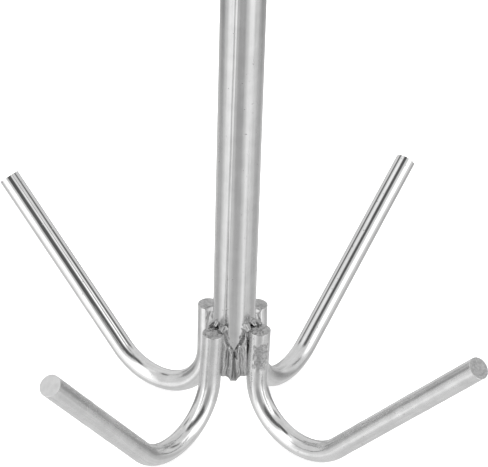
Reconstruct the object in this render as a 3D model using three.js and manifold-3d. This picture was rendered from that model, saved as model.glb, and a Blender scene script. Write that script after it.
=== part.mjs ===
// Welded four-fluke grapnel anchor: a capped tube shank, four bent round-bar flukes
// welded round its foot, and a ring that swings in a hole through the top of the shank.
//
// Millimetres, +Z up along the shank. The origin is the centre of the shank's flat foot.
// The viewer's side is -Y, and azimuths turn from +X towards +Y.

import * as THREE from "three";
import { mergeVertices } from "three/addons/utils/BufferGeometryUtils.js";
import Module from "manifold-3d";

// Shank
const SHANK_LENGTH = 456; // foot face to top face
const SHANK_RADIUS = 12.7;
const SHANK_WALL = 3;
const SHANK_CHAMFER = 0.5;
const CAP_THICKNESS = 3; // the disc welded on each end of the tube
const CAP_INSET = 2.1; // how much smaller than the tube a disc is, for its fillet weld

// Flukes
const ROD_RADIUS = 6.5;
const FOOT_HEIGHT = 44; // shank foot above the lowest point of the bends
// Each fluke is bent by hand, so no two are quite alike. splay is how far the hook's
// plane is turned from the radial plane, and top is the height of the sawn upper end.
const FLUKES = [
  { name: "front_left", azimuth: 227, splay: 3.5, radius: 34, bend: 140, tip: 112, top: 29 },
  { name: "front_right", azimuth: 319, splay: 3, radius: 35, bend: 138, tip: 133, top: 30 },
  { name: "back_right", azimuth: 404, splay: 13, radius: 37.5, bend: 125.5, tip: 141, top: 30.5 },
  { name: "back_left", azimuth: 503, splay: 4, radius: 37.5, bend: 136.5, tip: 128, top: 31.5 },
];

// Welds
const CLEARANCE = 0.3; // between pieces that touch
const BEAD_START = 1; // lower end of the fluke beads, above the foot
const BEAD_SHORT = 2.5; // the beads stop this far under the rod's sawn end
const BEAD_TOE = 1.3; // bead thickness where it runs out on the shank
const BEAD_ROD_ANGLE = 108; // how far round the rod a bead climbs, degrees from outward
const BEAD_SEAM = 1.5; // half the angle between the beads that share a gap, degrees
const CAP_BEAD_DROP = 0.6; // the cap's fillet stops this far short of its face

// Ring
const RING_RADIUS = 33; // to the centre of the bar
const RING_BAR_RADIUS = 4;
const RING_HOLE_DROP = 20; // hole centre below the shank's top face
const RING_HOLE_PLAY = 0.6; // clearance where the curved bar leaves the hole
const RING_WELD_LENGTH = 3; // butt weld that closes the ring
const RING_WELD_CROWN = 0.5; // how far that weld stands proud of the bar

// Facets
const SHANK_SIDES = 48;
const HALF_SIDES = 12; // segments in half a round bar's section
const BEND_STEPS = 14;
const RING_STEPS = 48;
const BEAD_ARC_STEPS = 6;

const rad = THREE.MathUtils.degToRad;

const wasm = await Module();
wasm.setup();

const rodSteel = new THREE.MeshStandardMaterial({ color: 0xc4c6c8, roughness: 0.22, metalness: 1 });
const tubeZinc = new THREE.MeshStandardMaterial({ color: 0xb9bbbd, roughness: 0.38, metalness: 1 });
const weldMetal = new THREE.MeshStandardMaterial({ color: 0xa3a5a7, roughness: 0.45, metalness: 1 });

const anchor = new THREE.Group();

function addPiece(name, geometry, material, group = anchor) {
  const mesh = new THREE.Mesh(geometry, material);
  mesh.name = name;
  group.add(mesh);
  return mesh;
}

// A closed geometry as a manifold-3d solid, and back.
function solidOf(geometry) {
  const bare = geometry.clone().deleteAttribute("normal").deleteAttribute("uv");
  const merged = mergeVertices(bare, 1e-4);
  return new wasm.Manifold(
    new wasm.Mesh({
      numProp: 3,
      vertProperties: new Float32Array(merged.attributes.position.array),
      triVerts: new Uint32Array(merged.index.array),
    }),
  );
}

function geometryOf(solid) {
  const mesh = solid.getMesh();
  const geometry = new THREE.BufferGeometry();
  geometry.setAttribute("position", new THREE.BufferAttribute(mesh.vertProperties, 3));
  geometry.setIndex(new THREE.BufferAttribute(mesh.triVerts, 1));
  geometry.computeVertexNormals();
  return geometry;
}

// A solid of revolution about +Z from [radius, height] pairs.
function turned(profile, sides = SHANK_SIDES) {
  const points = profile.map(([radius, height]) => new THREE.Vector2(radius, height));
  return new THREE.LatheGeometry(points, sides).rotateX(Math.PI / 2);
}

function roundSection(radius) {
  return new THREE.Shape().absarc(0, 0, radius, 0, 2 * Math.PI);
}

// A bent bar's centre line: straight, a round bend, then straight to the tip. It lies in
// the XZ plane with the bend turning from down to outward (+X). Its parameter counts
// sections, so a sweep puts one ring at each end of a straight and the rest on the bend.
class BentBar extends THREE.Curve {
  constructor({ start, top, bottom, radius, bend, tip, steps }) {
    super();
    Object.assign(this, { start, top, bottom, radius, bend, tip, steps });
  }

  sections() {
    return this.steps + 2;
  }

  angleAt(t) {
    const turned = (t * this.sections() - 1) / this.steps;
    return this.bend * THREE.MathUtils.clamp(turned, 0, 1);
  }

  getPoint(t, target = new THREE.Vector3()) {
    const section = t * this.sections();
    const angle = this.angleAt(t);
    target.set(
      this.start + this.radius * (1 - Math.cos(angle)),
      0,
      this.bottom - this.radius * Math.sin(angle),
    );
    if (section < 1) target.z = THREE.MathUtils.lerp(this.top, this.bottom, section);
    const along = Math.max(0, section - 1 - this.steps) * this.tip;
    return target.addScaledVector(this.getTangent(t), along);
  }

  getTangent(t, target = new THREE.Vector3()) {
    const angle = this.angleAt(t);
    return target.set(Math.sin(angle), 0, -Math.cos(angle));
  }

  getPointAt(t, target) {
    return this.getPoint(t, target);
  }

  getTangentAt(t, target) {
    return this.getTangent(t, target);
  }
}

// A circle in the XY plane with a gap centred on the given angle.
class GappedCircle extends THREE.Curve {
  constructor(radius, gapAngle, gapLength) {
    super();
    this.radius = radius;
    this.from = gapAngle + gapLength / 2 / radius;
    this.sweep = 2 * Math.PI - gapLength / radius;
  }

  getPoint(t, target = new THREE.Vector3()) {
    const angle = this.from + t * this.sweep;
    return target.set(Math.cos(angle), Math.sin(angle), 0).multiplyScalar(this.radius);
  }
}

function swept(path, radius, steps) {
  const options = { steps, extrudePath: path, curveSegments: HALF_SIDES };
  return new THREE.ExtrudeGeometry(roundSection(radius), options);
}

// Where a rod stands from the shank's axis: touching it, with the clearance.
const rodOffset = SHANK_RADIUS + CLEARANCE + ROD_RADIUS;
const tubeFoot = CAP_THICKNESS + CLEARANCE;
const tubeTop = SHANK_LENGTH - CAP_THICKNESS - CLEARANCE;
const holeHeight = SHANK_LENGTH - RING_HOLE_DROP;

function makeShank() {
  const inner = SHANK_RADIUS - SHANK_WALL;
  const edge = SHANK_RADIUS - SHANK_CHAMFER;
  const tube = turned([
    [inner, tubeFoot],
    [edge, tubeFoot],
    [SHANK_RADIUS, tubeFoot + SHANK_CHAMFER],
    [SHANK_RADIUS, tubeTop - SHANK_CHAMFER],
    [edge, tubeTop],
    [inner, tubeTop],
    [inner, tubeFoot],
  ]);
  // The ring's inner edge bows away from the hole's axis by the time it leaves the tube.
  const ringInner = RING_RADIUS - RING_BAR_RADIUS;
  const bow = RING_RADIUS - Math.sqrt(ringInner ** 2 - SHANK_RADIUS ** 2);
  const holeRadius = bow + RING_HOLE_PLAY;
  const drill = new THREE.CylinderGeometry(holeRadius, holeRadius, 4 * SHANK_RADIUS, 32)
    .rotateZ(Math.PI / 2)
    .translate(0, 0, holeHeight);
  const drilled = solidOf(tube).subtract(solidOf(drill));
  addPiece("shank_tube", geometryOf(drilled), tubeZinc);
}

// A disc on one end of the tube with a fillet weld round it. facing is -1 at the foot
// and 1 at the top, and face is the height of the disc's outer face.
function makeCap(name, face, facing) {
  const discRadius = SHANK_RADIUS - CAP_INSET;
  const back = face - facing * CAP_THICKNESS;
  const profile = [
    [0, Math.min(face, back)],
    [discRadius, Math.min(face, back)],
    [discRadius, Math.max(face, back)],
    [0, Math.max(face, back)],
  ];
  addPiece(name, turned(profile), tubeZinc);

  const root = discRadius + CLEARANCE;
  const toe = [SHANK_RADIUS - 0.1, back];
  const crown = [root, face - facing * CAP_BEAD_DROP];
  const fillet = [[root, back], toe, crown, [root, back]];
  addPiece(name + "_weld", turned(facing > 0 ? fillet : fillet.reverse()), weldMetal);
}

function makeFluke(fluke) {
  const path = new BentBar({
    start: 0,
    top: fluke.top,
    bottom: fluke.radius + ROD_RADIUS - FOOT_HEIGHT,
    radius: fluke.radius,
    bend: rad(fluke.bend),
    tip: fluke.tip,
    steps: BEND_STEPS,
  });
  const mesh = addPiece(
    "fluke_" + fluke.name,
    swept(path, ROD_RADIUS, path.sections()),
    rodSteel,
  );
  const azimuth = rad(fluke.azimuth);
  mesh.position.set(rodOffset * Math.cos(azimuth), rodOffset * Math.sin(azimuth), 0);
  mesh.rotation.z = azimuth + rad(fluke.splay);
}

// The fillet between a rod and the shank on one side of it, out to the middle of the gap
// to the next fluke. side is 1 for the anticlockwise side and -1 for the clockwise one.
function makeBead(fluke, neighbour, side, name) {
  const shankReach = SHANK_RADIUS + CLEARANCE;
  const rodReach = ROD_RADIUS + CLEARANCE;
  const gap = Math.abs(((neighbour.azimuth - fluke.azimuth + 540) % 360) - 180);
  const toe = rad(gap / 2 - BEAD_SEAM);
  // Where the clearance round the shank meets the clearance round the rod.
  const rootX = (rodOffset ** 2 + shankReach ** 2 - rodReach ** 2) / (2 * rodOffset);
  const rootY = Math.sqrt(shankReach ** 2 - rootX ** 2);
  const shankFrom = Math.atan2(rootY, rootX);
  const rodTo = Math.atan2(rootY, rootX - rodOffset);
  const rodFrom = rad(BEAD_ROD_ANGLE);

  const outline = [];
  for (let i = 0; i <= BEAD_ARC_STEPS; i++) {
    const angle = THREE.MathUtils.lerp(shankFrom, toe, i / BEAD_ARC_STEPS);
    outline.push([shankReach * Math.cos(angle), shankReach * Math.sin(angle)]);
  }
  const toeReach = shankReach + BEAD_TOE;
  outline.push([toeReach * Math.cos(toe), toeReach * Math.sin(toe)]);
  for (let i = 0; i < BEAD_ARC_STEPS; i++) {
    const angle = THREE.MathUtils.lerp(rodFrom, rodTo, i / BEAD_ARC_STEPS);
    outline.push([rodOffset + rodReach * Math.cos(angle), rodReach * Math.sin(angle)]);
  }
  const shape = new THREE.Shape(outline.map(([x, y]) => new THREE.Vector2(x, side * y)));
  const depth = fluke.top - BEAD_SHORT - BEAD_START;
  const bead = new THREE.ExtrudeGeometry(shape, { depth, bevelEnabled: false });
  const mesh = addPiece(name, bead, weldMetal);
  mesh.position.z = BEAD_START;
  mesh.rotation.z = rad(fluke.azimuth);
}

// The ring hangs down behind the shank, resting against it.
function makeRing() {
  const bar = SHANK_RADIUS + RING_BAR_RADIUS + CLEARANCE;
  const lean = Math.asin(bar / (2 * RING_RADIUS));
  const ring = new THREE.Group();
  ring.position.z = holeHeight;
  ring.rotation.x = lean;
  anchor.add(ring);

  // In the ring's own plane the hole is at +Z from the centre, and the weld is at +X.
  const hung = new THREE.Group();
  hung.position.z = -RING_RADIUS;
  hung.rotation.x = Math.PI / 2;
  ring.add(hung);

  const path = new GappedCircle(RING_RADIUS, 0, RING_WELD_LENGTH);
  addPiece("anchor_ring", swept(path, RING_BAR_RADIUS, RING_STEPS), rodSteel, hung);

  const half = RING_WELD_LENGTH / 2 - CLEARANCE;
  const crown = RING_BAR_RADIUS + RING_WELD_CROWN;
  const profile = [
    [0, -half],
    [RING_BAR_RADIUS, -half],
    [crown, -half / 2],
    [crown, half / 2],
    [RING_BAR_RADIUS, half],
    [0, half],
  ];
  const weld = addPiece("anchor_ring_weld", turned(profile, 24), weldMetal, hung);
  weld.position.x = RING_RADIUS;
  weld.rotation.x = Math.PI / 2;
}

makeShank();
makeCap("shank_foot_cap", 0, -1);
makeCap("shank_top_cap", SHANK_LENGTH, 1);
FLUKES.forEach((fluke, i) => {
  const next = FLUKES[(i + 1) % FLUKES.length];
  const last = FLUKES[(i + FLUKES.length - 1) % FLUKES.length];
  makeFluke(fluke);
  makeBead(fluke, next, 1, "weld_" + fluke.name + "_anticlockwise");
  makeBead(fluke, last, -1, "weld_" + fluke.name + "_clockwise");
});
makeRing();

export default anchor;
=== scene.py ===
"""Galvanised four-fluke grapnel anchor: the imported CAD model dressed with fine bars, tube and welds.

Metres, in the CAD's frame: +Z up the shank, the origin at the centre of its flat foot.
"""

import math

import bpy
import numpy as np
from mathutils import Matrix, Vector


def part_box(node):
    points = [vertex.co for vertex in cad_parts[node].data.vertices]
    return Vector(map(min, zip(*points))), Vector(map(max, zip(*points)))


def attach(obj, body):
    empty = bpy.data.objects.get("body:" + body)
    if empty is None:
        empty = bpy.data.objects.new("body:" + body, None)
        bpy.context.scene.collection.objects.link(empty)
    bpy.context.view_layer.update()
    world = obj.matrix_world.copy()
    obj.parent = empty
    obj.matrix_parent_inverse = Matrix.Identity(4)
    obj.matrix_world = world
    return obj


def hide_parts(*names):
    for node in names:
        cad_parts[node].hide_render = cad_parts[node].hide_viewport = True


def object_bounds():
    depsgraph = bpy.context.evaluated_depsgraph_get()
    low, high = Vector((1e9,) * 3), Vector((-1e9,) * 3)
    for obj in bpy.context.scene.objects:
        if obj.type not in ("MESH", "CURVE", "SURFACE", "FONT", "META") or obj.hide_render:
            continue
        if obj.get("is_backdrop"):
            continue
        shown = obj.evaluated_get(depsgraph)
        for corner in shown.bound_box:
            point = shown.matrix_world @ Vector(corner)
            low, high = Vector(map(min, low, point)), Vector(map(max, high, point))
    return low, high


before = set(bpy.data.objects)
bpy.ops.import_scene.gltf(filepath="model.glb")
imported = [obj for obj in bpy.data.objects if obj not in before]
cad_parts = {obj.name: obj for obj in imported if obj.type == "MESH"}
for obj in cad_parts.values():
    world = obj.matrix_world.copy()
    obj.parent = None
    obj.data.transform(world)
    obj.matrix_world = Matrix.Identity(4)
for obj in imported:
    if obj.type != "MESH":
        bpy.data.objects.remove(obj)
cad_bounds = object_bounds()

MM = 0.001

# ---------------------------------------------------------------------------------------
# Sizes that the CAD model is drawn with
# ---------------------------------------------------------------------------------------

SHANK_RADIUS = 12.7 * MM
SHANK_WALL = 3 * MM
ROD_RADIUS = 6.5 * MM
TOUCH_GAP = 0.3 * MM
ROD_OFFSET = SHANK_RADIUS + TOUCH_GAP + ROD_RADIUS
FOOT_HEIGHT = 44 * MM
RING_RADIUS = 33 * MM
RING_BAR_RADIUS = 4 * MM
RING_HOLE_DROP = 20 * MM
RING_HOLE_PLAY = 0.6 * MM
RING_WELD_LENGTH = 3 * MM

# azimuth, splay and bend are in degrees, the rest in millimetres, as in the CAD source.
FLUKES = {
    "front_left": dict(azimuth=227, splay=3.5, radius=34, bend=140, tip=112, top=29),
    "front_right": dict(azimuth=319, splay=3, radius=35, bend=138, tip=133, top=30),
    "back_right": dict(azimuth=404, splay=13, radius=37.5, bend=125.5, tip=141, top=30.5),
    "back_left": dict(azimuth=503, splay=4, radius=37.5, bend=136.5, tip=128, top=31.5),
}
FLUKE_ORDER = list(FLUKES)

shank_low, shank_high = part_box("shank_tube")
FLOOR_HEIGHT = min(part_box("fluke_" + name)[0].z for name in FLUKES)
SHANK_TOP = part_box("shank_top_cap")[1].z
HOLE_HEIGHT = SHANK_TOP - RING_HOLE_DROP

# ---------------------------------------------------------------------------------------
# Smooth repeatable noise for the mesh code
# ---------------------------------------------------------------------------------------

LATTICE_SIZE = 64
LATTICE_SEED = 7
LATTICE = np.random.default_rng(LATTICE_SEED).uniform(-1, 1, (LATTICE_SIZE,) * 3)
OCTAVE_SHIFT = 17.3


def noise(points):
    """Value noise from -1 to 1 at an (..., 3) array of points, with one lump per unit."""
    cell = np.floor(points).astype(int)
    part = points - cell
    part = part * part * (3 - 2 * part)
    total = 0
    for corner in np.ndindex(2, 2, 2):
        at = (cell + corner) % LATTICE_SIZE
        weight = np.prod(np.where(np.array(corner) == 1, part, 1 - part), axis=-1)
        total = total + weight * LATTICE[at[..., 0], at[..., 1], at[..., 2]]
    return total


def lumps(points, octaves=2):
    """Noise with one lump per unit, and smaller lumps of each further octave on it."""
    return sum(noise(points * 2**k + OCTAVE_SHIFT * k) / 2**k for k in range(octaves))


def smooth_step(value, low, high):
    """0 up to low, 1 from high, and an even S between them."""
    t = np.clip((value - low) / (high - low), 0, 1)
    return t * t * (3 - 2 * t)


def hump(offset, width):
    """1 where offset is 0, falling away like a bell over a width on either side."""
    return np.exp(-((offset / width) ** 2))


# ---------------------------------------------------------------------------------------
# Node materials
# ---------------------------------------------------------------------------------------


class Nodes:
    """Short calls for building a node tree."""

    def __init__(self, tree):
        self.tree = tree

    def add(self, kind, inputs=None, **settings):
        """A new node, with each of its inputs linked to a socket or set to a constant."""
        node = self.tree.nodes.new("ShaderNode" + kind)
        for key, value in settings.items():
            setattr(node, key, value)
        for key, value in (inputs or {}).items():
            if isinstance(value, bpy.types.NodeSocket):
                self.tree.links.new(value, node.inputs[key])
            else:
                node.inputs[key].default_value = value
        return node

    def math(self, operation, a, b=0.0, clamp=False):
        return self.add("Math", {0: a, 1: b}, operation=operation, use_clamp=clamp).outputs[0]

    def ramp(self, value, low, high, to_low=0.0, to_high=1.0):
        """A smooth step from to_low, where value is low, to to_high, where it is high."""
        inputs = {"Value": value, "From Min": low, "From Max": high, "To Min": to_low, "To Max": to_high}
        return self.add("MapRange", inputs, interpolation_type="SMOOTHSTEP").outputs["Result"]

    def blend(self, factor, a, b):
        """A number between a and b."""
        return self.add("Mix", {0: factor, 2: a, 3: b}, data_type="FLOAT").outputs[0]

    def noise(self, vector, scale, detail, roughness=0.55):
        """Noise with about scale lumps to the metre."""
        inputs = {"Vector": vector, "Scale": scale, "Detail": detail, "Roughness": roughness}
        return self.add("TexNoise", inputs).outputs[0]

    def stretch(self, vector, share):
        """The vector with its Z scaled down, so that noise draws out into streaks along Z."""
        return self.add("Mapping", {"Vector": vector, "Scale": (1, 1, share)}).outputs[0]


# Values of the "worn" attribute where the zinc is fully dull, and where it is rubbed off.
DULL = 1.0
BARE = 2.0
PIT_ROUGHENING = 0.2
PIT_DARKENING = 0.35
# How many times deeper the grain is where the zinc is dull.
DULL_GRAIN = 4
# Where it is rubbed off: the metal's tone, how much dirt takes off that, and the bump's depth.
RUBBED_TONE = 0.78
RUBBED_DIRT = 0.32
RUBBED_GRAIN = 0.35


def metal(name, shade, roughness, streaks, grain, pits, spread=0.07, dulling=0.0):
    """Zinc-coated steel with streaks along the "bar" attribute's Z, a cast grain and pits.

    roughness is (smoothest, roughest), and dulling is added to it where "worn" is DULL. From DULL
    to BARE the metal also darkens, is speckled with dirt and gets a rougher bump.
    streaks, grain and pits are bump depths in millimetres.
    """
    material = bpy.data.materials.new(name)
    material.use_nodes = True
    tree = material.node_tree
    tree.nodes.clear()
    nodes = Nodes(tree)
    along = nodes.add("Attribute", attribute_name="bar").outputs["Vector"]
    worn = nodes.add("Attribute", attribute_name="worn").outputs["Fac"]

    fine = nodes.noise(nodes.stretch(along, 0.012), scale=1500, detail=1)
    broad = nodes.noise(nodes.stretch(along, 0.03), scale=420, detail=3)
    cloud = nodes.noise(along, scale=95, detail=5, roughness=0.6)
    cast = nodes.noise(along, scale=420, detail=2, roughness=0.5)
    speck = nodes.noise(along, scale=520, detail=2, roughness=0.5)
    rubbed = nodes.noise(along, scale=700, detail=3, roughness=0.65)
    pit = nodes.ramp(speck, 0.69, 0.76)
    mark = nodes.math("ADD", nodes.math("MULTIPLY", broad, 0.5), nodes.math("MULTIPLY", cloud, 0.5))

    rough = nodes.blend(nodes.ramp(mark, 0.36, 0.64), roughness[0], roughness[1])
    rough = nodes.math("ADD", rough, nodes.ramp(worn, 0.0, DULL, 0.0, dulling))
    rough = nodes.math("ADD", rough, nodes.math("MULTIPLY", pit, PIT_ROUGHENING), clamp=True)

    tone = nodes.ramp(mark, 0.3, 0.7, shade - spread, shade + spread)
    pit_shade = nodes.math("SUBTRACT", 1.0, nodes.math("MULTIPLY", pit, PIT_DARKENING))
    tone = nodes.math("MULTIPLY", tone, pit_shade)
    tone = nodes.math("MULTIPLY", tone, nodes.ramp(worn, DULL, BARE, 1.0, RUBBED_TONE))
    dirt = nodes.ramp(rubbed, 0.4, 0.6, RUBBED_DIRT, 0.0)
    dirt = nodes.math("MULTIPLY", dirt, nodes.ramp(worn, DULL, BARE))
    tone = nodes.math("MULTIPLY", tone, nodes.math("SUBTRACT", 1.0, dirt), clamp=True)
    colour = nodes.add("CombineColor", {"Red": tone, "Green": tone, "Blue": tone})

    cast_depth = nodes.ramp(worn, 0.0, DULL, grain, grain * DULL_GRAIN)
    rubbed_depth = nodes.ramp(worn, DULL, BARE, 0.0, RUBBED_GRAIN)
    height = nodes.math("MULTIPLY", fine, streaks)
    height = nodes.math("ADD", height, nodes.math("MULTIPLY", cast, cast_depth))
    height = nodes.math("ADD", height, nodes.math("MULTIPLY", rubbed, rubbed_depth))
    height = nodes.math("SUBTRACT", height, nodes.math("MULTIPLY", pit, pits))
    bump = nodes.add("Bump", {"Height": height, "Strength": 1.0, "Distance": MM})

    surface = {
        "Base Color": colour.outputs[0],
        "Metallic": 1.0,
        "Roughness": rough,
        "Normal": bump.outputs[0],
    }
    shader = nodes.add("BsdfPrincipled", surface)
    output = nodes.add("OutputMaterial")
    tree.links.new(shader.outputs[0], output.inputs[0])
    return material


MATERIALS = {
    "bar": metal(
        "zinc_bar", shade=0.74, spread=0.08, roughness=(0.05, 0.1), dulling=0.2,
        streaks=0.0012, grain=0.0015, pits=0.01,
    ),
    "tube": metal(
        "zinc_tube", shade=0.67, spread=0.06, roughness=(0.17, 0.25),
        streaks=0.0025, grain=0.002, pits=0.02,
    ),
    "weld": metal(
        "zinc_weld", shade=0.47, spread=0.14, roughness=(0.16, 0.3),
        streaks=0.0, grain=0.004, pits=0.02,
    ),
    "sawn": metal(
        "sawn_steel", shade=0.76, spread=0.05, roughness=(0.3, 0.4),
        streaks=0.004, grain=0.004, pits=0.01,
    ),
    "plate": metal(
        "zinc_plate", shade=0.56, spread=0.08, roughness=(0.3, 0.42),
        streaks=0.003, grain=0.004, pits=0.02,
    ),
    "torn": metal(
        "sheared_steel", shade=0.48, spread=0.14, roughness=(0.2, 0.4),
        streaks=0.0, grain=0.04, pits=0.08,
    ),
    "ring": metal(
        "zinc_ring", shade=0.7, roughness=(0.08, 0.2),
        streaks=0.002, grain=0.003, pits=0.02,
    ),
}

# ---------------------------------------------------------------------------------------
# Mesh building
# ---------------------------------------------------------------------------------------


def turns(sides):
    """Angles round a full circle."""
    return 2 * math.pi * np.arange(sides) / sides


def stack(x, y, z):
    """An (..., 3) array of points from three coordinates, each a number or an array."""
    return np.stack(np.broadcast_arrays(x, y, z), axis=-1)


def circle(angle, radius, height):
    """Points round the Z axis; radius and height are numbers, or arrays with a value per point."""
    return stack(np.cos(angle) * radius, np.sin(angle) * radius, height)


def grid_faces(rows, columns, closed=True):
    """Quads between rows of vertices; closed joins the last column to the first."""
    faces = []
    for i in range(rows - 1):
        for j in range(columns if closed else columns - 1):
            k = (j + 1) % columns
            a = i * columns
            b = a + columns
            faces.append((a + j, a + k, b + k, b + j))
    return faces


def looped_faces(rows, columns):
    """Quads between closed rows of vertices, with the last row joined to the first."""
    total = rows * columns
    return [tuple(i % total for i in face) for face in grid_faces(rows + 1, columns)]


def end_faces(rows, columns):
    """The two faces that close the first and the last of the rows."""
    last = (rows - 1) * columns
    return [tuple(range(columns - 1, -1, -1)), tuple(last + j for j in range(columns))]


def slab_faces(rows, columns):
    """Faces of two open grids of vertices, one after the other, and of the rim between them."""
    count = rows * columns
    faces = grid_faces(rows, columns, closed=False)
    faces += [tuple(i + count for i in face[::-1]) for face in faces]
    rim = list(range(columns))
    rim += [i * columns + columns - 1 for i in range(1, rows)]
    rim += [(rows - 1) * columns + j for j in range(columns - 2, -1, -1)]
    rim += [i * columns for i in range(rows - 2, 0, -1)]
    faces += [(b, a, a + count, b + count) for a, b in zip(rim, rim[1:] + rim[:1])]
    return faces


def flipped(faces):
    return [face[::-1] for face in faces]


def make_object(name, vertices, faces, materials, worn, bar=None, face_material=None):
    """A smooth mesh object with the two attributes that metal() reads.

    worn is a number or an array with one value per vertex. bar holds the vertices' places on the
    straightened bar, and is where they are if left out.
    """
    mesh = bpy.data.meshes.new(name)
    mesh.from_pydata(vertices.tolist(), [], faces)
    for key in materials:
        mesh.materials.append(MATERIALS[key])
    mesh.polygons.foreach_set("use_smooth", [True] * len(faces))
    if face_material is not None:
        mesh.polygons.foreach_set("material_index", face_material)
    places = vertices if bar is None else bar
    mesh.attributes.new("bar", "FLOAT_VECTOR", "POINT").data.foreach_set("vector", places.ravel())
    values = np.full(len(vertices), worn, dtype=float)
    mesh.attributes.new("worn", "FLOAT", "POINT").data.foreach_set("value", values)
    mesh.update()
    piece = bpy.data.objects.new(name, mesh)
    bpy.context.collection.objects.link(piece)
    return piece


def stand_in(piece, body, node):
    """Let a piece ride on a body in place of a CAD node."""
    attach(piece, body)
    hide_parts(node)


# ---------------------------------------------------------------------------------------
# Flukes
# ---------------------------------------------------------------------------------------

BAR_SIDES = 80
BAR_STEP = 1.4 * MM
BEND_DEGREES_PER_STEP = 2
END_ROUND = 0.2 * MM
CAP_RINGS = 14
TORN_DEPTH = 0.5 * MM
SAWN_DEPTH = 0.06 * MM
SAW_MARK_DEPTH = 0.03 * MM
SAW_MARK_PITCH = 0.9 * MM
FLUKE_MATERIALS = ["bar", "torn", "sawn"]
BAR, TORN, SAWN = range(3)

# How dull the zinc is at the root, on the bend, on the straight to the tip and on the tip's sawn
# face: from 0 for bright through DULL to BARE.
DULLNESS = {
    "front_left": dict(root=1.2, bend=0.5, tip=1.0, sawn=0.6),
    "front_right": dict(root=1.12, bend=0.45, tip=0.8, sawn=1.6),
    "back_right": dict(root=0.3, bend=0.75, tip=0.0, sawn=0.6),
    "back_left": dict(root=0.4, bend=0.5, tip=0.0, sawn=0.6),
}
# How far each root's torn top leans anticlockwise round the shank.
LEAN = {"front_left": 1.8 * MM, "front_right": 1.1 * MM, "back_right": 0.9 * MM, "back_left": 0}
LEAN_START = -8 * MM
# A rubbed patch on one root: the fluke, how far below its top it starts and ends, the azimuths that
# it lies between, in degrees, and how many degrees its sides fade and fray over.
RUBBED = dict(fluke="front_right", start=7 * MM, end=24 * MM, low=-117, high=-41, fade=3, fray=9)


def fluke_line(fluke):
    """Centres, tangents and plane normal of a fluke, from its torn top to its sawn tip."""
    azimuth = math.radians(fluke["azimuth"])
    turn = math.radians(fluke["azimuth"] + fluke["splay"])
    bend = math.radians(fluke["bend"])
    radius, tip, top = (fluke[key] * MM for key in ("radius", "tip", "top"))
    root = ROD_OFFSET * np.array([math.cos(azimuth), math.sin(azimuth), 0])
    outward = np.array([math.cos(turn), math.sin(turn), 0])
    up = np.array([0.0, 0, 1])
    low = radius + ROD_RADIUS - FOOT_HEIGHT

    def at(angle):
        return root + outward * radius * (1 - math.cos(angle)) + up * (low - radius * math.sin(angle))

    def facing(angle):
        return outward * math.sin(angle) - up * math.cos(angle)

    # Stations crowd together at both ends, where the edge is rounded.
    near_end = END_ROUND * np.array([0, 0.1, 0.3, 0.6, 1, 1.6])
    plain = END_ROUND * 3
    drops = np.r_[near_end, np.linspace(plain, top - low, int((top - low) / BAR_STEP) + 2)]
    stations = [(root + up * (top - drop), -up) for drop in drops]
    angles = np.linspace(0, bend, int(fluke["bend"] / BEND_DEGREES_PER_STEP))[1:]
    stations += [(at(angle), facing(angle)) for angle in angles]
    end, away = at(bend), facing(bend)
    reaches = np.r_[np.linspace(0, tip - plain, int(tip / BAR_STEP))[1:], tip - near_end[::-1]]
    stations += [(end + away * reach, away) for reach in reaches]
    centres = np.array([station[0] for station in stations])
    tangents = np.array([station[1] for station in stations])
    return centres, tangents, np.cross(outward, up)


def root_lean(name, fluke, centres):
    """How far each centre moves, so that the root leans round the shank towards its top."""
    azimuth = math.radians(fluke["azimuth"])
    round_shank = np.array([-math.sin(azimuth), math.cos(azimuth), 0])
    at_root = np.hypot(centres[:, 0], centres[:, 1]) < ROD_OFFSET + 3 * MM
    lean = LEAN[name] * at_root * smooth_step(centres[:, 2], LEAN_START, fluke["top"] * MM)
    return np.outer(lean, round_shank)


def dullness_along(name, fluke, lengths):
    """How dull the bar is at each length below its top."""
    dull = DULLNESS[name]
    bend_start = fluke["top"] * MM - (fluke["radius"] * MM + ROD_RADIUS - FOOT_HEIGHT)
    bend_end = bend_start + fluke["radius"] * MM * math.radians(fluke["bend"])
    into_bend = smooth_step(lengths, bend_start - 8 * MM, bend_start + 10 * MM)
    out_of_bend = smooth_step(lengths, bend_end - 14 * MM, bend_end + 14 * MM)
    worn = dull["root"] + (dull["bend"] - dull["root"]) * into_bend
    return worn + (dull["tip"] - dull["bend"]) * out_of_bend


def rubbed_patch(outward, length):
    """How much each point round the bar is rubbed, from 0 to 1, and how deep it is cut there.

    outward holds the directions that the points face, and length is how far below the top they are.
    """
    azimuth = np.degrees(np.arctan2(outward[:, 1], outward[:, 0]))
    spot = stack(azimuth / 16, length / (2.5 * MM), 0)
    azimuth = azimuth + RUBBED["fray"] * lumps(spot)
    down = length + 1.3 * MM * lumps(spot + 5)
    fade = RUBBED["fade"]
    share = smooth_step(azimuth, RUBBED["low"] - fade, RUBBED["low"] + fade)
    share = share * (1 - smooth_step(azimuth, RUBBED["high"] - fade, RUBBED["high"] + fade))
    share = share * smooth_step(down, RUBBED["start"] - 0.8 * MM, RUBBED["start"] + 0.8 * MM)
    share = share * (1 - smooth_step(down, RUBBED["end"] - 3 * MM, RUBBED["end"] + 2 * MM))
    dents = lumps(stack(azimuth / 11, length / (1.5 * MM), 0))
    return share, share * (0.18 + 0.22 * dents) * MM


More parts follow.
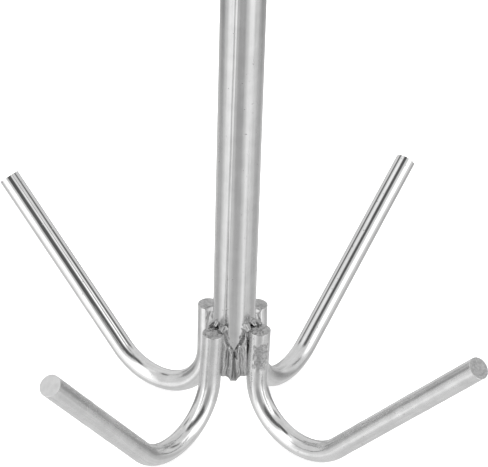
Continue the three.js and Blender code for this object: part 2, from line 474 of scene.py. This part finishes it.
def end_rings(centre, tangent, side, up, depth, seed, saw=0.0):
    """Rings of a rough end face from the rim inwards, ending in a small middle ring."""
    rings = []
    for k in range(CAP_RINGS):
        flat = circle(turns(BAR_SIDES), (ROD_RADIUS - END_ROUND) * (1 - (k + 0.5) / CAP_RINGS), 0)
        bumps = lumps(flat / (1.6 * MM) + [0, 0, seed], octaves=4)
        ridge = np.sin(2 * math.pi * flat[:, 1] / SAW_MARK_PITCH) * saw
        height = (depth * bumps + ridge) * min(1, k / 2)
        rings.append(centre + flat[:, :1] * side + flat[:, 1:2] * up + np.outer(height, tangent))
    return rings


def make_fluke(name, fluke):
    """A bar of rings: out over its torn top, down the root, round the bend and over its sawn tip."""
    centres, tangents, side = fluke_line(fluke)
    centres = centres + root_lean(name, fluke, centres)
    lengths = np.r_[0, np.cumsum(np.linalg.norm(np.diff(centres, axis=0), axis=1))]
    ups = np.cross(tangents, side)
    worn = dullness_along(name, fluke, lengths)
    angle = turns(BAR_SIDES)
    seed = FLUKE_ORDER.index(name) * 5.0
    rows, bars, wear, kinds = [], [], [], []

    def add_ring(points, along, wear_here, kind):
        rows.append(points)
        bars.append(circle(angle, ROD_RADIUS, along) + [seed * 0.01, 0, 0])
        wear.append(np.broadcast_to(wear_here, BAR_SIDES))
        kinds.append(kind)

    for ring in reversed(end_rings(centres[0], tangents[0], side, ups[0], TORN_DEPTH, seed)):
        add_ring(ring, 0, DULL, TORN)
    for i, length in enumerate(lengths):
        wobble = lumps(circle(angle, 0.8, length / (9 * MM) + seed)) * (0.012 + 0.07 * worn[i]) * MM
        inset = max(0, END_ROUND - min(length, lengths[-1] - length))
        radius = ROD_RADIUS + wobble - END_ROUND + math.sqrt(END_ROUND**2 - inset**2)
        wear_here = worn[i]
        outward = np.cos(angle)[:, None] * side + np.sin(angle)[:, None] * ups[i]
        if name == RUBBED["fluke"]:
            share, depth = rubbed_patch(outward, length)
            radius = radius - depth
            wear_here = worn[i] + share * (BARE - worn[i])
        add_ring(centres[i] + outward * radius[:, None], length, wear_here, BAR)
    for ring in end_rings(centres[-1], tangents[-1], side, ups[-1], SAWN_DEPTH, seed + 2, SAW_MARK_DEPTH):
        add_ring(ring, lengths[-1], DULLNESS[name]["sawn"], SAWN)

    faces = grid_faces(len(rows), BAR_SIDES) + end_faces(len(rows), BAR_SIDES)
    face_material = [max(pair) for pair in zip(kinds, kinds[1:]) for _ in range(BAR_SIDES)]
    face_material += [TORN, SAWN]
    vertices = np.vstack(rows)
    bar = np.vstack(bars)
    on_end = np.repeat(np.array(kinds) != BAR, BAR_SIDES)
    bar[on_end] = vertices[on_end]
    piece = make_object(
        name + "_bar", vertices, flipped(faces), FLUKE_MATERIALS, np.hstack(wear), bar, face_material,
    )
    stand_in(piece, "anchor", "fluke_" + name)


# ---------------------------------------------------------------------------------------
# Shank
# ---------------------------------------------------------------------------------------

SHANK_SIDES = 240
SHANK_ROWS = 170
CHAMFER = 0.5 * MM
SEAM_AZIMUTH = math.radians(247)
SEAM_TWIST = math.radians(6) / (240 * MM)
SEAM_HALF_WIDTH = 0.45 * MM
HOLE_SIDES = 64


def seam_at(angle, z):
    """The relief of the tube's long seam at one height, and how much each point is darkened and roughened
    along it.

    The seam is wider, deeper and darker towards the foot, and has a low ridge along one side.
    """
    off_seam = (angle - SEAM_AZIMUTH - SEAM_TWIST * z + math.pi) % (2 * math.pi) - math.pi
    across = off_seam * SHANK_RADIUS
    width = SEAM_HALF_WIDTH * (1 + 1.6 * (1 - smooth_step(z, 25 * MM, 70 * MM)))
    groove = hump(across, width)
    ridge = hump(across - 1.5 * width, width)
    low_down = 1 - smooth_step(z, 30 * MM, 120 * MM)
    relief = -(0.2 + 0.2 * low_down) * MM * groove + 0.06 * MM * ridge
    # The second value darkens the tube along the groove, most towards the foot, and deepens its bump.
    return relief, (1.4 + 1.0 * low_down) * groove


def make_shank():
    """The tube: up its outer wall with chamfered ends, and back down the inner one."""
    low, high = shank_low.z, shank_high.z
    wall = np.linspace(low + 1.2 * MM, high - 1.2 * MM, SHANK_ROWS)
    edge = np.array([0, 0.4, 1]) * CHAMFER
    heights = np.r_[low + edge, wall, high - edge[::-1]]
    insets = np.zeros(len(heights))
    insets[[0, -1]] = CHAMFER
    insets[[1, -2]] = CHAMFER * 0.35
    angle = turns(SHANK_SIDES)
    rows, seam_darkening = [], []
    for z, inset in zip(heights, insets):
        relief, darkened = seam_at(angle, z)
        uneven = lumps(circle(angle, 1.2, z / (40 * MM))) * 0.02 * MM
        radius = SHANK_RADIUS - inset + relief * (inset == 0) + uneven
        rows.append(circle(angle, radius, z))
        seam_darkening.append(darkened)
    for z in (high, low):
        rows.append(circle(angle, SHANK_RADIUS - SHANK_WALL, z))
        seam_darkening.append(np.zeros(SHANK_SIDES))
    faces = looped_faces(len(rows), SHANK_SIDES)
    shank = make_object("shank", np.vstack(rows), faces, ["tube"], np.hstack(seam_darkening))
    drill_hole(shank)
    stand_in(shank, "anchor", "shank_tube")


def drill_hole(shank):
    """Cut the ring's cross hole, with the same radius as the CAD's."""
    bow = RING_RADIUS - math.sqrt((RING_RADIUS - RING_BAR_RADIUS) ** 2 - SHANK_RADIUS**2)
    radius = bow + RING_HOLE_PLAY
    angle = turns(HOLE_SIDES)
    rows = []
    for x in (-2 * SHANK_RADIUS, 2 * SHANK_RADIUS):
        rows.append(stack(x, np.cos(angle) * radius, HOLE_HEIGHT + np.sin(angle) * radius))
    faces = grid_faces(2, HOLE_SIDES) + end_faces(2, HOLE_SIDES)
    mesh = bpy.data.meshes.new("drill")
    mesh.from_pydata(np.vstack(rows).tolist(), [], faces)
    drill = bpy.data.objects.new("drill", mesh)
    bpy.context.collection.objects.link(drill)
    cut = shank.modifiers.new("hole", "BOOLEAN")
    cut.object = drill
    cut.operation = "DIFFERENCE"
    cut.solver = "EXACT"
    bpy.context.view_layer.update()
    evaluated = shank.evaluated_get(bpy.context.evaluated_depsgraph_get())
    finished = bpy.data.meshes.new_from_object(evaluated)
    shank.modifiers.clear()
    shank.data = finished
    bpy.data.objects.remove(drill)


# ---------------------------------------------------------------------------------------
# Welds along the flukes
# ---------------------------------------------------------------------------------------

WELD_COLUMNS = 72
WELD_ROWS = 150
WELD_START_DEGREES = 9
WELD_EMBED = 1.0 * MM
WELD_THICKNESS = 2.7 * MM
WELD_WORN = 0.5
# The crust's lower edge, and how much lower still it drips at mid-gap.
WELD_BOTTOM = -4.3 * MM
WELD_DRIP = 2.4 * MM
# How far the crust climbs above the root's top, and how much lower it ends at mid-gap.
WELD_CLIMB = 3.2 * MM
WELD_FALL = 7 * MM
# Blobs on each crust: how far round from the root's middle in degrees, and in millimetres how far
# above the root's top, how wide and how tall.
WELD_BLOBS = [
    dict(round=20, above=1.3, wide=1.8, tall=1.7),
    dict(round=10, above=0.6, wide=1.9, tall=1.3),
    dict(round=24, above=-6, wide=2.2, tall=0.7),
]
# How much of each bead's width is missing at its top, where bare tube shows between two beads.
BEAD_OPENING = {
    ("front_left", 1): 0.62,
    ("front_right", -1): 0.62,
    ("front_left", -1): 0.35,
    ("front_right", 1): 0.35,
    ("back_left", 1): 0.1,
    ("back_right", -1): 0.1,
    ("back_left", -1): 0.45,
    ("back_right", 1): 0.5,
}


def weld_height(across, rise, theta, z, top, opening, seed):
    """How high the crust stands on the tube, at angles theta from the root's middle and heights z.

    across runs from 0 at the root to 1 at mid-gap, and rise from 0 at the bottom to 1 at the crest.
    """
    # Ridges run down the crust and wander sideways as they go.
    flow = theta * 20 + 1.5 * np.sin(z / (8 * MM) + seed) + 0.5 * np.sin(z / (3.4 * MM) + 2 * seed)
    ridges = np.sin(flow) + 0.3 * np.sin(1.9 * flow + 2 * seed)
    clumps = lumps(stack(theta * 6, z / (7 * MM), seed))
    profile = 0.55 + 0.45 * smooth_step(across, 0.1, 0.4)
    groove_fill = 1.5 * MM * hump(theta - math.radians(17), math.radians(7))

    # Towards its top the bead is narrower, and bare tube shows beyond it.
    missing = smooth_step(z, 8 * MM, top) * opening
    open_here = missing > 0.02
    wander = 0.08 * np.sin(z / (3.1 * MM) + 4 * seed)
    thinning = smooth_step(across / (1 - missing) + wander * open_here, 0.78, 1.12)
    fade = 1 - thinning * np.where(open_here, 1, 0.35)
    ends = np.sqrt(np.clip(1 - np.abs(2 * rise - 1) ** 9, 0, 1))

    height = WELD_THICKNESS * profile + 0.6 * MM * ridges + 0.7 * MM * clumps + groove_fill
    height = height * fade * ends
    for blob in WELD_BLOBS:
        aside = (theta - math.radians(blob["round"])) * SHANK_RADIUS
        away = np.hypot(aside, z - top - blob["above"] * MM)
        height = height + blob["tall"] * MM * hump(away, blob["wide"] * MM) * ends
    return np.maximum(height, -0.4 * MM) - 0.25 * MM * (1 - fade)


def make_weld(name, side):
    """The bead on one side of a fluke: a runny crust over the shank, out to mid-gap."""
    fluke = FLUKES[name]
    index = FLUKE_ORDER.index(name)
    neighbour = FLUKES[FLUKE_ORDER[(index + side) % len(FLUKES)]]
    gap = abs((neighbour["azimuth"] - fluke["azimuth"] + 540) % 360 - 180)
    seed = 3.1 * index + 1.7 * side
    start = math.radians(WELD_START_DEGREES)
    toe = math.radians(gap / 2 + 1)
    top = fluke["top"] * MM

    across = np.linspace(0, 1, WELD_COLUMNS)[None, :]
    rise = np.linspace(0, 1, WELD_ROWS)[:, None]
    ragged = lumps(stack((start + (toe - start) * across) * 6, seed, 0))
    bottom = WELD_BOTTOM + 0.5 * MM * ragged - WELD_DRIP * smooth_step(across, 0.62, 0.84)
    crest = top + WELD_CLIMB + 0.8 * MM * ragged - WELD_FALL * smooth_step(across, 0.35, 1)
    z = bottom + (crest - bottom) * rise
    # Above the root's top the crust closes in over the bar.
    start = start * (1 - 0.8 * smooth_step(z, top + 0.3 * MM, top + 1.2 * MM))
    theta = start + (toe - start) * across

    outer = SHANK_RADIUS + weld_height(across, rise, theta, z, top, BEAD_OPENING[name, side], seed)
    azimuth = math.radians(fluke["azimuth"]) + side * theta
    sheets = [circle(azimuth, radius, z) for radius in (outer, SHANK_RADIUS - WELD_EMBED)]
    vertices = np.vstack([sheet.reshape(-1, 3) for sheet in sheets])
    faces = slab_faces(WELD_ROWS, WELD_COLUMNS)
    if side < 0:
        faces = flipped(faces)
    turn = "anticlockwise" if side > 0 else "clockwise"
    piece = make_object(f"{name}_weld_{turn}", vertices, faces, ["weld"], WELD_WORN)
    stand_in(piece, "anchor", f"weld_{name}_{turn}")


# ---------------------------------------------------------------------------------------
# End caps of the shank
# ---------------------------------------------------------------------------------------

CAP_SIDES = 128
CAP_WELD_SIDES = CAP_SIDES * 3
CAP_WELD_STEPS = 14
CAP_WELD_BEATS = 17
CAP_WELD_EMBED = 0.2 * MM
CAP_WELD_BULGE = 0.35 * MM
CAP_WELD_WORN = 0.3
# Share of the radius and drop in millimetres, from the middle of the face over its rounded edge.
CAP_FLAT = [(share, 0) for share in (0.02, 0.2, 0.4, 0.6, 0.8, 0.93)]
CAP_PROFILE = CAP_FLAT + [(0.985, 0.06), (1, 0.3), (1, 3)]


def cap_extent(node, facing):
    """Heights of a cap's outer face and of its back, and its radius; facing is 1 up or -1 down."""
    low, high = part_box(node)
    if facing > 0:
        return high.z, low.z, high.x
    return low.z, high.z, high.x


def make_cap(node, facing):
    """A welded disc with a slightly uneven face and a rounded edge."""
    face, back, radius = cap_extent(node, facing)
    angle = turns(CAP_SIDES)
    rows = []
    for share, drop in CAP_PROFILE:
        uneven = -abs(lumps(circle(angle, share * 3, facing))) * 0.05 * MM
        z = np.clip(face - facing * (drop * MM - uneven), min(face, back), max(face, back))
        rows.append(circle(angle, share * radius, z))
    faces = grid_faces(len(rows), CAP_SIDES) + end_faces(len(rows), CAP_SIDES)
    if facing > 0:
        faces = flipped(faces)
    piece = make_object(node.replace("cap", "disc"), np.vstack(rows), faces, ["plate"], worn=0.0)
    stand_in(piece, "anchor", node)


def make_cap_weld(node, facing):
    """The rippled fillet round a cap, from the cap's edge out and back along the tube."""
    face, back, outer = cap_extent(node, facing)
    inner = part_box(node.replace("_weld", ""))[1].x - CAP_WELD_EMBED
    depth = abs(face - back)
    angle = turns(CAP_WELD_SIDES)
    rows = []
    for t in np.linspace(0, 1, CAP_WELD_STEPS + 1):
        phase = 0.8 * math.sin(3 * t) + 0.6 * np.sin(angle * 3)
        beat = 0.12 * np.abs(np.sin(angle * CAP_WELD_BEATS + phase))
        bulge = 0.55 + 0.25 * lumps(circle(angle, 7, t * 2 + facing)) + beat
        bulge = CAP_WELD_BULGE * bulge * math.sin(math.pi * t)
        radius = inner + (outer - inner) * t + bulge
        rows.append(circle(angle, radius, face - facing * depth * t + facing * bulge))
    rows.append(circle(angle, inner, back))
    faces = looped_faces(len(rows), CAP_WELD_SIDES)
    if facing > 0:
        faces = flipped(faces)
    piece = make_object(node + "_bead", np.vstack(rows), faces, ["weld"], CAP_WELD_WORN)
    stand_in(piece, "anchor", node)


# ---------------------------------------------------------------------------------------
# Ring
# ---------------------------------------------------------------------------------------

RING_SIDES = 48
RING_STEPS = 260
RING_WORN = 0.2
# The angle that is left open in the bar, and how much more than that its weld covers.
RING_GAP = RING_WELD_LENGTH / RING_RADIUS
RING_BEAD_OVERLAP = 1.15
RING_BEAD_STEPS = 30


def ring_frame():
    """Centre of the ring and the two directions of its plane: across, and down from the hole."""
    lean = math.asin((SHANK_RADIUS + RING_BAR_RADIUS + TOUCH_GAP) / (2 * RING_RADIUS))
    down = np.array([0, math.sin(lean), -math.cos(lean)])
    centre = np.array([0, 0, HOLE_HEIGHT]) + down * RING_RADIUS
    return centre, np.array([1.0, 0, 0]), down


def ring_arc(name, start, end, steps, bulge, uneven, material, node):
    """A stretch of round bar along the ring; bulge(t) thickens it and uneven dents it."""
    centre, across, down = ring_frame()
    normal = np.cross(across, down)
    angle = turns(RING_SIDES)
    rows, bars = [], []
    for t in np.linspace(0, 1, steps):
        at = start + (end - start) * t
        outward = across * math.cos(at) + down * math.sin(at)
        radius = RING_BAR_RADIUS + bulge(t) + lumps(circle(angle, 1, at * 9)) * uneven
        flat = circle(angle, radius, 0)
        rows.append(centre + outward * RING_RADIUS + flat[:, :1] * outward + flat[:, 1:2] * normal)
        bars.append(circle(angle, RING_BAR_RADIUS, at * RING_RADIUS))
    faces = grid_faces(steps, RING_SIDES) + end_faces(steps, RING_SIDES)
    piece = make_object(name, np.vstack(rows), flipped(faces), [material], RING_WORN, np.vstack(bars))
    stand_in(piece, "ring", node)


def upset_bulge(t):
    """How much thicker the ring's weld is than its bar, from one end of the weld to the other."""
    return 0.55 * MM * math.sin(math.pi * t) ** 0.7 - 0.05 * MM + 0.08 * MM * math.sin(14 * t)


def make_ring():
    ring_arc(
        "ring_bar", RING_GAP / 2, 2 * math.pi - RING_GAP / 2, RING_STEPS, lambda t: 0, 0.02 * MM,
        "ring", "anchor_ring",
    )
    reach = RING_GAP / 2 * RING_BEAD_OVERLAP
    ring_arc(
        "ring_bead", -reach, reach, RING_BEAD_STEPS, upset_bulge, 0.12 * MM,
        "weld", "anchor_ring_weld",
    )


for fluke_name, fluke in FLUKES.items():
    make_fluke(fluke_name, fluke)
    make_weld(fluke_name, 1)
    make_weld(fluke_name, -1)
make_shank()
for node, facing in (("shank_foot_cap", -1), ("shank_top_cap", 1)):
    make_cap(node, facing)
    make_cap_weld(node + "_weld", facing)
make_ring()

# ---------------------------------------------------------------------------------------
# Floor, light and camera
# ---------------------------------------------------------------------------------------

FLOOR_HALF_SIZE = 3.0
FLOOR_DROP = 0.2 * MM
FLOOR_GLOW = 0.55
LAMP_SIZE = 2.4
LAMP_HEIGHT = 2.2
LAMP_WATTS = 38
CAMERA_AIM = Vector((4.3, 0, 88.8)) * MM
CAMERA_DISTANCE = 1157.6 * MM
CAMERA_ELEVATION = math.radians(31.509)
CAMERA_ROLL = math.radians(1.787)
CAMERA_LENS = 147.52
CAMERA_SENSOR = 36
CAMERA_CLIP = 0.05
WHITE = (1, 1, 1, 1)

# Brightness of the tent all round, and of the patches on it as their reflections show them. Each is
# (brightness, azimuth, half width, lowest, highest, softness), all but the first in degrees. The
# azimuth is from +Y towards +X, lowest and highest are elevations, and softness is an edge's width.
TENT_BRIGHTNESS = 0.8
TENT_PATCHES = [
    (0.76, 0, 180, -91, -38, 12),
    (0.5, 0, 14, -45, 2, 10),
    (0.58, 68, 22, -40, -12, 8),
    (0.58, -70, 18, -40, -12, 8),
    (0.62, 180, 20, -42, 4, 8),
    (0.34, 48, 26, -26, -3, 8),
    (0.33, -57, 24, -26, 0, 8),
    (0.42, 180, 16, -28, 14, 9),
    (0.16, 79, 14, 25, 38, 7),
    (0.16, -61, 10, 30, 46, 7),
    (1.05, -95, 22, 55, 75, 12),
    (1.17, -124, 19, -42, -16, 8),
    (1.15, 133, 14, -42, -14, 9),
    (1.6, -134, 18, -20, 60, 8),
    (1.6, 127, 17, -20, 42, 8),
    (1.6, 112, 12, 6, 40, 8),
    (0.13, 173, 19, 10, 60, 7),
    (0.12, 180, 40, 60, 82, 9),
]


def make_floor():
    """A sheet of white paper just under the flukes."""
    half = FLOOR_HALF_SIZE
    z = FLOOR_HEIGHT - FLOOR_DROP
    corners = [(-half, -half, z), (half, -half, z), (half, half, z), (-half, half, z)]
    mesh = bpy.data.meshes.new("floor")
    mesh.from_pydata(corners, [], [(0, 1, 2, 3)])
    floor = bpy.data.objects.new("floor", mesh)
    bpy.context.collection.objects.link(floor)
    material = bpy.data.materials.new("white_paper")
    material.use_nodes = True
    shader = material.node_tree.nodes["Principled BSDF"]
    shader.inputs["Base Color"].default_value = (0.9, 0.9, 0.9, 1)
    shader.inputs["Roughness"].default_value = 0.9
    shader.inputs["Emission Color"].default_value = WHITE
    shader.inputs["Emission Strength"].default_value = FLOOR_GLOW
    mesh.materials.append(material)
    floor.visible_glossy = False
    floor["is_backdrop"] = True


def make_world():
    """A photographic tent: plain white seen directly, and patched where the metal reflects it."""
    world = bpy.data.worlds.new("tent")
    bpy.context.scene.world = world
    world.use_nodes = True
    tree = world.node_tree
    nodes = Nodes(tree)
    background = tree.nodes["Background"]
    direction = nodes.add("TexCoord").outputs["Generated"]
    split = nodes.add("SeparateXYZ", {0: direction})
    azimuth = nodes.math("ARCTAN2", split.outputs[0], split.outputs[1])
    elevation = nodes.math("ARCSINE", split.outputs[2])
    light = TENT_BRIGHTNESS
    for brightness, centre, half, low, high, soft in TENT_PATCHES:
        turn = nodes.math("SUBTRACT", azimuth, math.radians(centre))
        turn = nodes.add("Math", {0: turn, 1: math.pi, 2: -math.pi}, operation="WRAP").outputs[0]
        turn = nodes.math("ABSOLUTE", turn)
        side, rise, fall = (
            [math.radians(edge - soft / 2), math.radians(edge + soft / 2)] for edge in (half, low, high)
        )
        mask = nodes.ramp(turn, *side, 1.0, 0.0)
        mask = nodes.math("MULTIPLY", mask, nodes.ramp(elevation, *rise))
        mask = nodes.math("MULTIPLY", mask, nodes.ramp(elevation, *fall, 1.0, 0.0))
        light = nodes.blend(mask, light, brightness)
    seen = nodes.add("LightPath").outputs["Is Camera Ray"]
    tree.links.new(nodes.blend(seen, light, 1.0), background.inputs["Strength"])
    background.inputs["Color"].default_value = WHITE


def make_lamp():
    """A large soft overhead light for the floor, kept out of the metal's reflections."""
    data = bpy.data.lights.new("overhead", "AREA")
    data.shape = "DISK"
    data.size = LAMP_SIZE
    data.energy = LAMP_WATTS
    lamp = bpy.data.objects.new("overhead", data)
    lamp.location = (0, 0, LAMP_HEIGHT)
    lamp.visible_glossy = False
    lamp.visible_camera = False
    bpy.context.collection.objects.link(lamp)


def make_camera():
    """A long lens in front, looking down at the flukes."""
    data = bpy.data.cameras.new("camera")
    data.lens = CAMERA_LENS
    data.sensor_width = CAMERA_SENSOR
    data.sensor_fit = "HORIZONTAL"
    data.clip_start = CAMERA_CLIP
    camera = bpy.data.objects.new("camera", data)
    bpy.context.collection.objects.link(camera)
    back = Vector((0, -math.cos(CAMERA_ELEVATION), math.sin(CAMERA_ELEVATION)))
    turn = Matrix.Rotation(math.pi / 2 - CAMERA_ELEVATION, 4, "X") @ Matrix.Rotation(CAMERA_ROLL, 4, "Z")
    camera.matrix_world = Matrix.Translation(CAMERA_AIM + back * CAMERA_DISTANCE) @ turn
    bpy.context.scene.camera = camera


make_floor()
make_world()
make_lamp()
make_camera()
bpy.context.scene.view_settings.view_transform = "Standard"

boxes = {"cad": cad_bounds, "visual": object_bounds()}
{key: [list(corner) for corner in box] for key, box in boxes.items()}
